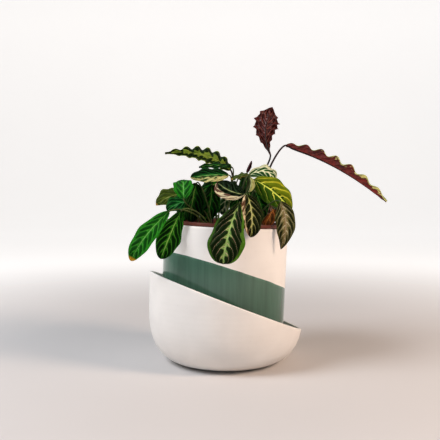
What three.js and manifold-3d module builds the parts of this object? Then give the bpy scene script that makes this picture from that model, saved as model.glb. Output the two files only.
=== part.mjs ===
// A potted prayer plant, in millimetres, +Z up.
// A white bowl with a slanted rim holds a straight inner pot, which leans a little in it. A nursery pot hangs by
// its lip on the inner pot and holds the soil. Each leaf is one node: its blade and its stalk, joined, and the
// stalk stands in a plain hole in the soil.
// The origin is on the surface that the bowl stands on, under the middle of its foot. The front is -Y.
import * as THREE from "three";
import { mergeVertices } from "three/addons/utils/BufferGeometryUtils.js";
import Module from "manifold-3d";

const wasm = await Module();
wasm.setup();

// The bowl, outside and inside. Its belly is a rounded curve from the foot to the widest height.
const BOWL_RADIUS = 120;
const BOWL_WIDEST_HEIGHT = 82;
const BOWL_FOOT_RADIUS = 58;
const BOWL_BELLY_POWER = 2.55;
const BOWL_INNER_RADIUS = 115.5;
const BOWL_FLOOR = 8;
const BOWL_INNER_POWER = 3.5;
const BOWL_BLANK_HEIGHT = 150;
const BOWL_BLANK_INWARD = 1.5;
const RIM_CUT = { width: 600, depth: 300 };
const BOWL_STEPS = 11;
const BOWL_RIM = { height: 93, fallRight: 0.387, fallBack: 0.129 };

// The inner pot, which leans to the right
const POT_RADIUS = 96;
const POT_HEIGHT = 193;
const POT_WALL = 5;
const POT_FLOOR = 7;
const POT_FOOT_ROUND = 15;
const POT_FOOT_STEPS = 5;
const POT_LIP_ROUND = 1;
const POT_DRAIN_RADIUS = 9;
const POT_LEAN = THREE.MathUtils.degToRad(2.5);
const POT_FOOT_AT = { x: -8, z: 17.4 };

// The nursery pot, measured down from the inner pot's rim
const NURSERY_LIP_RADIUS = 93;
const NURSERY_LIP_HEIGHT = 5;
const NURSERY_TOP_RADIUS = 88;
const NURSERY_FOOT_RADIUS = 70;
const NURSERY_DEPTH = 140;
const NURSERY_WALL = 2.2;
const NURSERY_DRAINS = { count: 6, radius: 5, ring: 45 };

// The soil, measured down from the inner pot's rim, and its low mounds: their height, and the lengths they repeat in
const SOIL_TOP_BELOW_RIM = 9;
const SOIL_RINGS = 7;
const SOIL_EDGE_ROUND = 3;
const SOIL_MOUNDS = { height: 1.6, across: 9, back: 11, slanted: 5, slantedShare: 0.6 };

const SEAT_GAP = 0.3;
const ROUND_STEPS = 36;
// How much further in a faceted wall may be than the round one
const FACET_ALLOWANCE = 0.25;
const HOLE_SIDES = 12;
const WELD = 1e-4;

// The leaves
const BLADE_THICKNESS = 0.9;
const BLADE_END = 1.2;
const BLADE_FOLD = 12;
const BLADE_DROOP = 0.1;
const CALM_SHARE = 0.3;
const STALK_RADIUS = 1.3;
const STALK_SIDES = 4;
const STALK_DEPTH = 14;
const STALK_FOOT = 3;
const STALK_HOLE = { gap: 0.5, above: 12, sides: 6 };
const STALK_STEPS = 7;
const STALK_RISE = 0.45;
const STALK_TURN = 12;
const STALK_REACH = 0.1;
const PRAYER = { rows: 7, columns: 4, fullness: 0.55, waves: 0, swing: 0, teeth: 0, rounded: true };
const WAVED = { rows: 24, columns: 4, fullness: 0.75, waves: 7, swing: 4, teeth: 0.07 };
const ROLLED = { rows: 6, columns: 4, fullness: 0.7, waves: 0, swing: 0, teeth: 0 };

const COLOURS = {
  ceramic: 0xeae6e1, glaze: 0x4f7463, terracotta: 0x9a4a32, soil: 0x3a2a20,
  fresh: 0x3f9a34, dark: 0x1d4a2a, olive: 0x76802f, pale: 0xa9ad5a, purple: 0x5a2630,
};

// The eye from which the leaves are set out: a point is given by where it shows on the upright plane through the
// bowl's axis, across and up, and by how far behind that plane it is.
const EYE = new THREE.Vector3(-9.3, -953, 256);

function at(across, up, back) {
  const reach = 1 + back / -EYE.y;
  return new THREE.Vector3(
    EYE.x + (across - EYE.x) * reach,
    back,
    EYE.z + (up - EYE.z) * reach,
  );
}

// Solids
function solidOf(geometry) {
  const plain = geometry.clone();
  plain.deleteAttribute("normal");
  plain.deleteAttribute("uv");
  const merged = mergeVertices(plain, WELD);
  return new wasm.Manifold(new wasm.Mesh({
    numProp: 3,
    vertProperties: merged.attributes.position.array,
    triVerts: new Uint32Array(merged.index.array),
  }));
}

function geometryOf(solid) {
  const mesh = solid.getMesh();
  return new THREE.BufferGeometry()
    .setAttribute("position", new THREE.BufferAttribute(mesh.vertProperties, 3))
    .setIndex(new THREE.BufferAttribute(mesh.triVerts, 1));
}

function named(name, solid, colour, roughness = 0.5) {
  const geometry = geometryOf(solid);
  geometry.computeVertexNormals();
  const material = new THREE.MeshStandardMaterial({ color: colour, roughness, flatShading: true });
  const mesh = new THREE.Mesh(geometry, material);
  mesh.name = name;
  return mesh;
}

// A round solid about +Z from pairs of radius and height that go round its wall anticlockwise.
function turned(pairs) {
  const points = pairs.map(([radius, height]) => new THREE.Vector2(radius, height));
  const closed = points[0].x === 0 ? points : [...points, points[0].clone()];
  return solidOf(new THREE.LatheGeometry(closed, ROUND_STEPS).rotateX(Math.PI / 2));
}

function rod(radius, from, to, sides, x = 0, y = 0) {
  const geometry = new THREE.CylinderGeometry(radius, radius, to - from, sides)
    .rotateX(Math.PI / 2)
    .translate(x, y, (from + to) / 2);
  return solidOf(geometry);
}

function leaned(solid) {
  const degrees = THREE.MathUtils.radToDeg(POT_LEAN);
  return solid.rotate([0, degrees, 0]).translate([POT_FOOT_AT.x, 0, POT_FOOT_AT.z]);
}

// The bowl
function bellyRadius(share, foot, widest, power) {
  return foot + (widest - foot) * (1 - (1 - share) ** power) ** (1 / power);
}

function bowlOuter() {
  const pairs = [];
  for (let step = 0; step <= BOWL_STEPS; step++) {
    const share = 1 - Math.cos((step / BOWL_STEPS) * Math.PI / 2);
    const radius = bellyRadius(share, BOWL_FOOT_RADIUS, BOWL_RADIUS, BOWL_BELLY_POWER);
    pairs.push([radius, share * BOWL_WIDEST_HEIGHT]);
  }
  pairs.push([BOWL_RADIUS - BOWL_BLANK_INWARD, BOWL_BLANK_HEIGHT]);
  return pairs;
}

function bowlInner() {
  const pairs = [[0, BOWL_FLOOR]];
  for (let step = 2; step <= BOWL_STEPS; step++) {
    const share = 1 - Math.cos((step / BOWL_STEPS) * Math.PI / 2);
    const radius = bellyRadius(share, 0, BOWL_INNER_RADIUS, BOWL_INNER_POWER);
    pairs.push([radius, BOWL_FLOOR + share * (BOWL_WIDEST_HEIGHT - BOWL_FLOOR)]);
  }
  pairs.push([BOWL_INNER_RADIUS - BOWL_BLANK_INWARD, BOWL_BLANK_HEIGHT]);
  return pairs;
}

// A thick slab whose underside is the plane of the bowl's rim.
function aboveRim() {
  const slab = new THREE.BoxGeometry(RIM_CUT.width, RIM_CUT.width, RIM_CUT.depth);
  const normal = new THREE.Vector3(BOWL_RIM.fallRight, BOWL_RIM.fallBack, 1).normalize();
  slab.applyQuaternion(new THREE.Quaternion().setFromUnitVectors(new THREE.Vector3(0, 0, 1), normal));
  const middle = normal.multiplyScalar(RIM_CUT.depth / 2).add(new THREE.Vector3(0, 0, BOWL_RIM.height));
  return solidOf(slab.translate(middle.x, middle.y, middle.z));
}

function bowl() {
  const wall = turned([[0, 0], ...bowlOuter(), ...bowlInner().reverse()]);
  return wall.subtract(aboveRim());
}

// The inner pot, the nursery pot and the soil
function innerPot() {
  const outside = [[0, 0]];
  for (let step = 0; step <= POT_FOOT_STEPS; step++) {
    const angle = (step / POT_FOOT_STEPS) * Math.PI / 2;
    outside.push([
      POT_RADIUS - POT_FOOT_ROUND * (1 - Math.sin(angle)),
      POT_FOOT_ROUND * (1 - Math.cos(angle)),
    ]);
  }
  const inside = POT_RADIUS - POT_WALL;
  const lip = [
    [POT_RADIUS, POT_HEIGHT - POT_LIP_ROUND], [POT_RADIUS - POT_LIP_ROUND, POT_HEIGHT], [inside, POT_HEIGHT],
  ];
  const bottom = [[inside, POT_FOOT_ROUND], [inside - POT_FOOT_ROUND / 2, POT_FLOOR], [0, POT_FLOOR]];
  const wall = turned([...outside, ...lip, ...bottom]);
  return leaned(wall.subtract(rod(POT_DRAIN_RADIUS, -1, POT_FLOOR + 1, HOLE_SIDES)));
}

function nurseryPot() {
  const seat = POT_HEIGHT + SEAT_GAP;
  const top = seat + NURSERY_LIP_HEIGHT;
  const foot = seat - NURSERY_DEPTH;
  let wall = turned([
    [0, foot], [NURSERY_FOOT_RADIUS, foot], [NURSERY_TOP_RADIUS, seat],
    [NURSERY_LIP_RADIUS, seat], [NURSERY_LIP_RADIUS, top],
    [NURSERY_TOP_RADIUS - NURSERY_WALL, top],
    [NURSERY_TOP_RADIUS - NURSERY_WALL, seat],
    [NURSERY_FOOT_RADIUS - NURSERY_WALL, foot + NURSERY_WALL], [0, foot + NURSERY_WALL],
  ]);
  for (let hole = 0; hole < NURSERY_DRAINS.count; hole++) {
    const angle = (hole / NURSERY_DRAINS.count) * 2 * Math.PI;
    const x = NURSERY_DRAINS.ring * Math.cos(angle);
    const y = NURSERY_DRAINS.ring * Math.sin(angle);
    wall = wall.subtract(rod(NURSERY_DRAINS.radius, foot - 1, foot + NURSERY_WALL + 1, HOLE_SIDES, x, y));
  }
  return leaned(wall);
}

function nurseryInside(height) {
  const seat = POT_HEIGHT + SEAT_GAP;
  const share = (height - (seat - NURSERY_DEPTH)) / NURSERY_DEPTH;
  const radius = NURSERY_FOOT_RADIUS + (NURSERY_TOP_RADIUS - NURSERY_FOOT_RADIUS) * share;
  return radius - NURSERY_WALL - SEAT_GAP - FACET_ALLOWANCE;
}

function soilBump(x, y) {
  const { height, across, back, slanted, slantedShare } = SOIL_MOUNDS;
  return height * (Math.sin(x / across + 1) * Math.cos(y / back) + slantedShare * Math.sin((x + y) / slanted));
}

function soil() {
  const bottom = POT_HEIGHT + SEAT_GAP - NURSERY_DEPTH + NURSERY_WALL + SEAT_GAP;
  const top = POT_HEIGHT - SOIL_TOP_BELOW_RIM;
  const rim = nurseryInside(top);
  const pairs = [[0, bottom], [nurseryInside(bottom), bottom], [rim, top - SOIL_EDGE_ROUND]];
  for (let ring = SOIL_RINGS; ring >= 0; ring--)
    pairs.push([(rim - SOIL_EDGE_ROUND) * ring / SOIL_RINGS, top]);
  const points = pairs.map(([radius, height]) => new THREE.Vector2(radius, height));
  const geometry = new THREE.LatheGeometry(points, ROUND_STEPS).rotateX(Math.PI / 2);
  const position = geometry.attributes.position;
  for (let i = 0; i < position.count; i++)
    if (position.getZ(i) > top - 1)
      position.setZ(i, top + soilBump(position.getX(i), position.getY(i)));
  return leaned(solidOf(geometry));
}

// Where the upright line at x and y meets the level of the soil.
function soilLevel(x) {
  const along = POT_HEIGHT - SOIL_TOP_BELOW_RIM;
  const middle = POT_FOOT_AT.x + along * Math.sin(POT_LEAN);
  return POT_FOOT_AT.z + along * Math.cos(POT_LEAN) - (x - middle) * Math.tan(POT_LEAN);
}

function soilWithHoles(leaves) {
  const holes = leaves.map(({ root }) => {
    const level = soilLevel(root.x);
    const bottom = level - STALK_DEPTH - SEAT_GAP;
    return rod(STALK_RADIUS + STALK_HOLE.gap, bottom, level + STALK_HOLE.above, STALK_HOLE.sides, root.x, root.y);
  });
  return soil().subtract(wasm.Manifold.union(holes));
}

// Leaves
function midrib(leaf) {
  const control = leaf.base.clone().add(leaf.tip).multiplyScalar(0.5)
    .add(leaf.bow.clone().multiplyScalar(2));
  return new THREE.QuadraticBezierCurve3(leaf.base, control, leaf.tip);
}

function halfWidth(leaf, u) {
  const bend = Math.log(0.5) / Math.log(leaf.widest ?? 0.5);
  const share = Math.sin(Math.PI * Math.min(Math.max(u, 0), 1) ** bend);
  return BLADE_END + (leaf.half - BLADE_END) * Math.max(share, 0) ** (leaf.fullness ?? leaf.kind.fullness);
}

function bladePoint(leaf, curve, u, v) {
  const along = curve.getTangent(u);
  const side = along.clone().cross(leaf.faces).normalize();
  const face = side.clone().cross(along);
  const half = halfWidth(leaf, u);
  const edge = Math.abs(v);
  const fold = THREE.MathUtils.degToRad(leaf.fold ?? BLADE_FOLD);
  const turn = 2 * Math.PI * leaf.kind.waves * u;
  const tooth = 1 + leaf.kind.teeth * v * v * Math.cos(turn);
  const lift = half * edge * Math.sin(fold) - half * (leaf.droop ?? BLADE_DROOP) * v * v
    + swingAt(leaf, u, v) * Math.sin(turn);
  return curve.getPoint(u)
    .addScaledVector(side, half * v * tooth * Math.cos(fold))
    .addScaledVector(face, lift);
}

// How far a waved blade swings up and down at a share v of its half width.
function swingAt(leaf, u, v) {
  const share = Math.sign(v) === leaf.calm ? CALM_SHARE : 1;
  return share * leaf.kind.swing * Math.abs(v) ** 1.5 * Math.sin(Math.PI * u) ** 0.5;
}

// The point and the direction out of the upper face, at a share u of the length and v of the half width.
function bladeSurface(leaf, curve, u, v) {
  const small = 0.01;
  const point = bladePoint(leaf, curve, u, v);
  const lengthways = bladePoint(leaf, curve, Math.min(u + small, 1), v)
    .sub(bladePoint(leaf, curve, Math.max(u - small, 0), v));
  const sideways = bladePoint(leaf, curve, u, v + small).sub(bladePoint(leaf, curve, u, v - small));
  return { point, out: sideways.cross(lengthways).normalize() };
}

// A rounded blade has its rows closer together at the two ends.
function rowShare(kind, row) {
  const share = row / kind.rows;
  return kind.rounded ? (1 - Math.cos(Math.PI * share)) / 2 : share;
}

function bladeSolid(leaf) {
  const curve = midrib(leaf);
  const { rows, columns } = leaf.kind;
  const upper = [];
  const lower = [];
  for (let row = 0; row <= rows; row++)
    for (let column = 0; column <= columns; column++) {
      const v = (2 * column) / columns - 1;
      const { point, out } = bladeSurface(leaf, curve, rowShare(leaf.kind, row), v);
      upper.push(point.clone().addScaledVector(out, BLADE_THICKNESS / 2));
      lower.push(point.clone().addScaledVector(out, -BLADE_THICKNESS / 2));
    }
  return solidOf(closedSheet(upper, lower, rows, columns));
}

function closedSheet(upper, lower, rows, columns) {
  const index = [];
  const below = upper.length;
  const spot = (row, column) => row * (columns + 1) + column;
  for (let row = 0; row < rows; row++)
    for (let column = 0; column < columns; column++) {
      const a = spot(row, column), b = spot(row, column + 1);
      const c = spot(row + 1, column + 1), d = spot(row + 1, column);
      index.push(a, b, c, a, c, d);
      index.push(below + a, below + c, below + b, below + a, below + d, below + c);
    }
  for (const [a, b] of sheetBorder(rows, columns, spot))
    index.push(a, below + b, b, a, below + a, below + b);
  const positions = [...upper, ...lower].flatMap((p) => [p.x, p.y, p.z]);
  return new THREE.BufferGeometry()
    .setAttribute("position", new THREE.Float32BufferAttribute(positions, 3))
    .setIndex(index);
}

// The steps round the border of a sheet, in the order that makes its edge faces look outwards.
function sheetBorder(rows, columns, spot) {
  const steps = [];
  for (let column = 0; column < columns; column++) {
    steps.push([spot(0, column), spot(0, column + 1)]);
    steps.push([spot(rows, column + 1), spot(rows, column)]);
  }
  for (let row = 0; row < rows; row++) {
    steps.push([spot(row, columns), spot(row + 1, columns)]);
    steps.push([spot(row + 1, 0), spot(row, 0)]);
  }
  return steps;
}

function stalkCurve(leaf) {
  const blade = midrib(leaf);
  const level = soilLevel(leaf.root.x);
  const foot = new THREE.Vector3(leaf.root.x, leaf.root.y, level + STALK_FOOT);
  const start = blade.getTangent(0);
  const rise = foot.distanceTo(leaf.base) * STALK_RISE;
  const path = new THREE.CurvePath();
  path.add(new THREE.LineCurve3(new THREE.Vector3(foot.x, foot.y, level - STALK_DEPTH), foot));
  path.add(new THREE.CubicBezierCurve3(
    foot,
    foot.clone().add(new THREE.Vector3(0, 0, rise)),
    leaf.base.clone().addScaledVector(start, -STALK_TURN),
    leaf.base,
  ));
  return { path, blade };
}

function stalkSolid(leaf) {
  const { path, blade } = stalkCurve(leaf);
  const points = [path.curves[0].getPoint(0), path.curves[0].getPoint(1)];
  for (let step = 1; step <= STALK_STEPS; step++)
    points.push(path.curves[1].getPoint(step / STALK_STEPS));
  points.push(blade.getPoint(STALK_REACH));
  const section = new THREE.Shape();
  for (let side = 0; side < STALK_SIDES; side++) {
    const angle = (side / STALK_SIDES) * 2 * Math.PI;
    const x = STALK_RADIUS * Math.cos(angle);
    const y = STALK_RADIUS * Math.sin(angle);
    if (side === 0) section.moveTo(x, y);
    else section.lineTo(x, y);
  }
  section.closePath();
  return solidOf(new THREE.ExtrudeGeometry(section, {
    steps: points.length,
    bevelEnabled: false,
    extrudePath: new THREE.CatmullRomCurve3(points, false, "centripetal"),
  }));
}

function leafSolid(leaf) {
  return bladeSolid(leaf).add(stalkSolid(leaf));
}

// The leaf list. base and tip: the ends of the blade. bow: how far its middle stands off the straight line between
// them. faces: where its upper side looks. half: half its width. calm: the side that waves less. root: where its
// stalk stands in the soil.
const by = (across, up, back) => new THREE.Vector3(across, back, up);

const LEAVES = [
  { name: "leaf_left_front", kind: PRAYER, colour: "fresh", half: 14.5, widest: 0.55,
    base: at(-89, 231, -84), tip: at(-149, 154, -88), bow: by(-4, 2, -8), faces: by(0.1, 0.3, -1),
    root: { x: -34, y: -52 } },
  { name: "leaf_left_front_inner", kind: PRAYER, colour: "dark", half: 17, widest: 0.6,
    base: at(-70, 232, -82), tip: at(-102, 157, -76), bow: by(0, 2, -4), faces: by(0.3, 0.2, -1),
    root: { x: -26, y: -62 } },
  { name: "leaf_left_olive", kind: PRAYER, colour: "olive", half: 17, widest: 0.46, fullness: 0.8,
    base: at(-70, 259, -20), tip: at(-109, 241, -24), bow: by(-2, 3, 0), faces: by(-0.4, 0.6, -0.8),
    root: { x: -36, y: -18 } },
  { name: "leaf_left_small", kind: PRAYER, colour: "fresh", half: 15,
    base: at(-66, 251, -72), tip: at(-67, 280, -46), bow: by(0, 4, -3), faces: by(0, 0.6, -1),
    root: { x: -36, y: -36 } },
  { name: "leaf_left_teal", kind: PRAYER, colour: "dark", half: 16,
    base: at(-59, 247, -42), tip: at(-92, 233, -52), bow: by(0, 3, 0), faces: by(-0.2, 0.8, -0.8),
    root: { x: -24, y: -26 } },
  { name: "leaf_left_hanging", kind: PRAYER, colour: "dark", half: 23, fold: 22,
    base: at(-46, 275, -40), tip: at(-55, 214, -45), bow: by(-2, 0, -3), faces: by(0.77, 0.1, -0.7),
    root: { x: -22, y: -42 } },
  { name: "leaf_left_hanging_back", kind: PRAYER, colour: "dark", half: 16,
    base: at(-22, 272, -18), tip: at(-33, 215, -18), bow: by(3, 0, -3), faces: by(0.1, 0.1, -1),
    root: { x: -14, y: -12 } },
  { name: "leaf_top_level", kind: PRAYER, colour: "dark", half: 18, fold: 6,
    base: at(4, 288, -30), tip: at(-55, 284, -40), bow: by(0, 2, 0), faces: by(0, 1, -0.65),
    root: { x: 0, y: -20 } },
  { name: "leaf_top_thin", kind: PRAYER, colour: "dark", half: 12, fold: 4,
    base: at(8, 301, -2), tip: at(-42, 300, -8), bow: by(0, 3, 0), faces: by(0, 1, -0.25),
    root: { x: 0, y: 10 } },
  { name: "leaf_waved_left", kind: WAVED, colour: "olive", half: 14, calm: -1, fold: 6, widest: 0.42,
    base: at(7, 296, 24), tip: at(-95, 322, 16), bow: by(8, 10, 0), faces: by(0.1, 0.8, -0.9),
    root: { x: 6, y: 26 } },
  { name: "leaf_middle_pale_band", kind: PRAYER, colour: "pale", half: 18, fold: 5,
    base: at(29, 258, -70), tip: at(-13, 277, -52), bow: by(-3, -3, -4), faces: by(-0.3, 0.9, -0.8),
    root: { x: 12, y: -40 } },
  { name: "leaf_front_big", kind: PRAYER, colour: "dark", half: 25, widest: 0.66, fold: 6,
    base: at(21, 244, -98), tip: at(-5, 149, -120), bow: by(-3, 3, -10), faces: by(0, 0.25, -1),
    root: { x: 8, y: -64 } },
  { name: "leaf_front_dark", kind: PRAYER, colour: "dark", half: 16.5, fold: 8,
    base: at(33, 257, -80), tip: at(39, 191, -102), bow: by(4, 2, -3), faces: by(0.35, 0.15, -1),
    root: { x: 26, y: -54 } },
  { name: "leaf_right_yellow", kind: PRAYER, colour: "olive", half: 20, fullness: 0.68, fold: 6, widest: 0.46,
    base: at(44, 281, -28), tip: at(102, 233, -46), bow: by(3, 3, -3), faces: by(-0.1, 0.4, -1),
    root: { x: 32, y: -20 } },
  { name: "leaf_right_hanging", kind: PRAYER, colour: "olive", half: 16, widest: 0.42, fullness: 0.85, fold: 14,
    base: at(85, 246, -66), tip: at(86, 172, -70), bow: by(7, 2, -5), faces: by(-0.3, 0.1, -1),
    root: { x: 42, y: -40 } },
  { name: "leaf_top_arch", kind: PRAYER, colour: "pale", half: 16, fold: 4,
    base: at(36, 288, -4), tip: at(76, 281, -16), bow: by(4, 9, 0), faces: by(0.1, 0.8, -0.7),
    root: { x: 22, y: -2 } },
  { name: "leaf_middle_olive", kind: PRAYER, colour: "olive", half: 13, fold: 4,
    base: at(34, 289, -48), tip: at(9, 281, -43), bow: by(0, 2, 0), faces: by(-0.2, 1, -0.3),
    root: { x: 18, y: -28 } },
  { name: "leaf_pale_curled", kind: ROLLED, colour: "pale", half: 7, fold: 40,
    base: at(38, 284, -54), tip: at(36, 262, -58), bow: by(2, 0, 0), faces: by(0.8, 0, -0.5),
    root: { x: 26, y: -36 } },
  { name: "leaf_new_rolled", kind: ROLLED, colour: "purple", half: 4.5, fold: 60, droop: 0,
    base: at(33, 292, 12), tip: at(40, 310, 14), bow: by(-1, 0, 0), faces: by(0.6, 0, -0.8),
    root: { x: 14, y: 8 } },
  { name: "leaf_middle_dark", kind: PRAYER, colour: "dark", half: 17,
    base: at(34, 279, 36), tip: at(40, 234, 32), bow: by(2, 0, -2), faces: by(0.2, 0.3, -1),
    root: { x: 12, y: 38 } },
  { name: "leaf_middle_left_dark", kind: PRAYER, colour: "dark", half: 14,
    base: at(-4, 279, 12), tip: at(-38, 262, 8), bow: by(0, 2, -2), faces: by(-0.1, 0.6, -0.8),
    root: { x: -4, y: 18 } },
  { name: "leaf_waved_upright", kind: WAVED, colour: "purple", half: 21, fullness: 0.95, fold: 8, widest: 0.66,
    base: at(69, 320, 26), tip: at(72, 393, 44), bow: by(-8, 0, 4), faces: by(0.1, 0.1, 1),
    root: { x: 34, y: 16 } },
  { name: "leaf_waved_long", kind: WAVED, colour: "purple", half: 14, fullness: 0.5, fold: 48, widest: 0.5, droop: 0,
    base: at(94, 334, 22), tip: at(251, 247, 6), bow: by(0, 11, 0), faces: by(0.2, 1, 0.25),
    root: { x: 46, y: 4 } },
  { name: "leaf_right_low_purple", kind: PRAYER, colour: "purple", half: 9, fold: 4,
    base: at(72, 240, -6), tip: at(52, 224, -14), bow: by(0, 3, 0), faces: by(0, -0.4, 1),
    root: { x: 50, y: -10 } },
  { name: "leaf_back_left", kind: PRAYER, colour: "dark", half: 18,
    base: at(-50, 259, 46), tip: at(-70, 224, 84), bow: by(-2, 6, 4), faces: by(-0.3, 0.7, 0.8),
    root: { x: -24, y: 20 } },
  { name: "leaf_back_left_hanging", kind: PRAYER, colour: "fresh", half: 17,
    base: at(-60, 224, 84), tip: at(-78, 166, 104), bow: by(-2, 3, 8), faces: by(-0.4, 0.2, 1),
    root: { x: -34, y: 44 } },
  { name: "leaf_back_hanging", kind: PRAYER, colour: "dark", half: 22, widest: 0.6,
    base: at(-16, 222, 98), tip: at(-10, 160, 118), bow: by(0, 4, 9), faces: by(0.1, 0.25, 1),
    root: { x: -10, y: 56 } },
  { name: "leaf_back_right_hanging", kind: PRAYER, colour: "dark", half: 20, widest: 0.6,
    base: at(34, 223, 92), tip: at(46, 160, 112), bow: by(1, 4, 8), faces: by(0.25, 0.25, 1),
    root: { x: 18, y: 54 } },
  { name: "leaf_back_right", kind: PRAYER, colour: "fresh", half: 17,
    base: at(66, 262, 48), tip: at(84, 228, 82), bow: by(2, 6, 4), faces: by(0.4, 0.7, 0.8),
    root: { x: 32, y: 34 } },
  { name: "leaf_back_side_hanging", kind: PRAYER, colour: "dark", half: 15,
    base: at(80, 228, 58), tip: at(86, 178, 70), bow: by(4, 3, 4), faces: by(0.9, 0.2, 0.7),
    root: { x: 50, y: 28 } },
  { name: "leaf_back_top", kind: PRAYER, colour: "dark", half: 15,
    base: at(-10, 286, 40), tip: at(-36, 280, 78), bow: by(0, 4, 0), faces: by(-0.1, 1, 0.4),
    root: { x: -12, y: 34 } },
  { name: "leaf_back_middle", kind: PRAYER, colour: "fresh", half: 16,
    base: at(40, 266, 60), tip: at(36, 240, 96), bow: by(0, 5, 3), faces: by(0, 0.7, 0.9),
    root: { x: 22, y: 42 } },
  { name: "leaf_waved_back", kind: WAVED, colour: "olive", half: 13, fold: 8, widest: 0.42,
    base: at(-24, 264, 84), tip: at(-46, 240, 176), bow: by(0, 8, 0), faces: by(-0.1, 1, 0.3),
    root: { x: -22, y: 48 } },
  { name: "leaf_inner_striped", kind: PRAYER, colour: "dark", half: 9,
    base: at(4, 258, -4), tip: at(-6, 226, -12), bow: by(-1, 0, -3), faces: by(-0.2, 0.2, -1),
    root: { x: 6, y: 0 } },
  { name: "leaf_inner_middle_dark", kind: PRAYER, colour: "dark", half: 11,
    base: at(20, 262, -14), tip: at(15, 222, -22), bow: by(0, 0, -3), faces: by(0, 0.2, -1),
    root: { x: 12, y: -14 } },
  { name: "leaf_inner_right_dark", kind: PRAYER, colour: "dark", half: 12,
    base: at(46, 262, -12), tip: at(58, 222, -22), bow: by(2, 0, -2), faces: by(0.1, 0.2, -1),
    root: { x: 34, y: -6 } },
  { name: "leaf_left_low_dark", kind: PRAYER, colour: "dark", half: 11,
    base: at(-60, 240, -24), tip: at(-66, 216, -28), bow: by(-2, 1, -1), faces: by(-0.3, 0.3, -1),
    root: { x: -42, y: -20 } },
  { name: "leaf_back_inner", kind: PRAYER, colour: "dark", half: 15,
    base: at(20, 284, 38), tip: at(30, 278, 70), bow: by(0, 4, 0), faces: by(0.1, 1, 0.3),
    root: { x: 6, y: 46 } },
];

const solidParts = [
  named("bowl", bowl(), COLOURS.ceramic, 0.6),
  named("inner_pot", innerPot(), COLOURS.glaze, 0.3),
  named("nursery_pot", nurseryPot(), COLOURS.terracotta, 0.7),
  named("soil", soilWithHoles(LEAVES), COLOURS.soil, 0.95),
];
const leafParts = LEAVES.map((leaf) => named(leaf.name, leafSolid(leaf), COLOURS[leaf.colour], 0.45));

const plant = new THREE.Group();
plant.name = "potted_prayer_plant";
plant.add(...solidParts, ...leafParts);

export default plant;
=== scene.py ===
"""Looks of a potted prayer plant: a slanted bowl, a glazed pot, a nursery pot, soil and patterned leaves."""

import math
import random
from types import SimpleNamespace
from typing import NamedTuple

import bpy
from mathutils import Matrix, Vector


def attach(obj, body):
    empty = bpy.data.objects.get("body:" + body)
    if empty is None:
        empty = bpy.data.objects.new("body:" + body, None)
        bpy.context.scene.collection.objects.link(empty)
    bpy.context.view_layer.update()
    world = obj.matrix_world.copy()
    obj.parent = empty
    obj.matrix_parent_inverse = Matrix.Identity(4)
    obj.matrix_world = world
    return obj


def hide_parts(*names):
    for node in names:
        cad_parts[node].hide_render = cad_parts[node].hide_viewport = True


bl_info = {
    "name": "Potted prayer plant",
    "version": (1, 0, 0),
    "blender": (4, 5, 0),
    "location": "3D View > Sidebar > Prayer Plant",
    "description": "Models a prayer plant with patterned leaves in a glazed pot, set in a slanted bowl",
    "category": "Add Mesh",
}

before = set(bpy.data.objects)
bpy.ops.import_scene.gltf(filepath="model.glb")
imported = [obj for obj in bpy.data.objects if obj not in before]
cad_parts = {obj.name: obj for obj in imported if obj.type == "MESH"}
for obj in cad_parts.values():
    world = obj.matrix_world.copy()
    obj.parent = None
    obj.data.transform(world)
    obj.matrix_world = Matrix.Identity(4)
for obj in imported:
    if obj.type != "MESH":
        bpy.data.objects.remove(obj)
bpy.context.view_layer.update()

# All sizes below are in millimetres, and are turned to metres where a mesh is made
MM = 0.001

# The bowl: its belly curves from the foot to the widest height, and its rim is cut on a slanted plane
BOWL_RADIUS = 120
BOWL_WIDEST = 82
BOWL_FOOT_RADIUS = 58
BOWL_FOOT_EDGE = 6
BOWL_BELLY_POWER = 2.55
BOWL_INNER_RADIUS = 115.5
BOWL_INNER_FOOT_RADIUS = 0.5
BOWL_FLOOR = 8
BOWL_INNER_POWER = 3.5
BOWL_TAPER = 1.5 / 68
BOWL_RIM = {"height": 93, "fall_right": 0.387, "fall_back": 0.129}
BOWL_LIP_ROUND = 2.2
BOWL_OUTER_STEPS = 44
BOWL_LIP_STEPS = 10
BOWL_INNER_STEPS = 30

# The inner pot, which leans to the right, the nursery pot that hangs in it and the soil
POT_LEAN = math.radians(2.5)
POT_FOOT_AT = (-8, 0, 17.4)
POT_RADIUS = 96
POT_HEIGHT = 193
POT_WALL = 5
POT_FLOOR = 7
POT_FOOT_ROUND = 15
POT_DRAIN_RADIUS = 9
GLAZE_EDGE = {"height": 138.5, "fall_right": 0.313, "fall_back": 0.169}
NURSERY_SEAT = POT_HEIGHT + 0.3
NURSERY_LIP_RADIUS = 93
NURSERY_LIP_HEIGHT = 5
NURSERY_EDGE = 0.7
NURSERY_STEP_OUT = 0.4
NURSERY_STEP_DOWN = 2
NURSERY_TOP_RADIUS = 88
NURSERY_FOOT_RADIUS = 70
NURSERY_DRAIN_RADIUS = 4
NURSERY_DEPTH = 140
NURSERY_WALL = 2.2
SOIL_TOP = POT_HEIGHT - 9
SOIL_RADIUS = 84.5
SOIL_DEPTH = 40
SOIL_TAPER = 5
SOIL_RINGS = 60
ROUND = 144
CRUMBS = 420
CRUMB_SIZES = (0.7, 2.3)
CRUMB_REACH = 0.97 * SOIL_RADIUS

# The blades: half their width at the base and at the tip, how much of its swing a calm side keeps, how many
# ripples an edge has, how much they change the width, and how much deeper than a side vein the midrib is sunk
BLADE_END = 1.2
TIP_END = 0.2
CALM_SHARE = 0.3
RIPPLES = 2.7
RIPPLE_WIDTH = 0.035
RIB_GROOVE = 1.5
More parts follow.
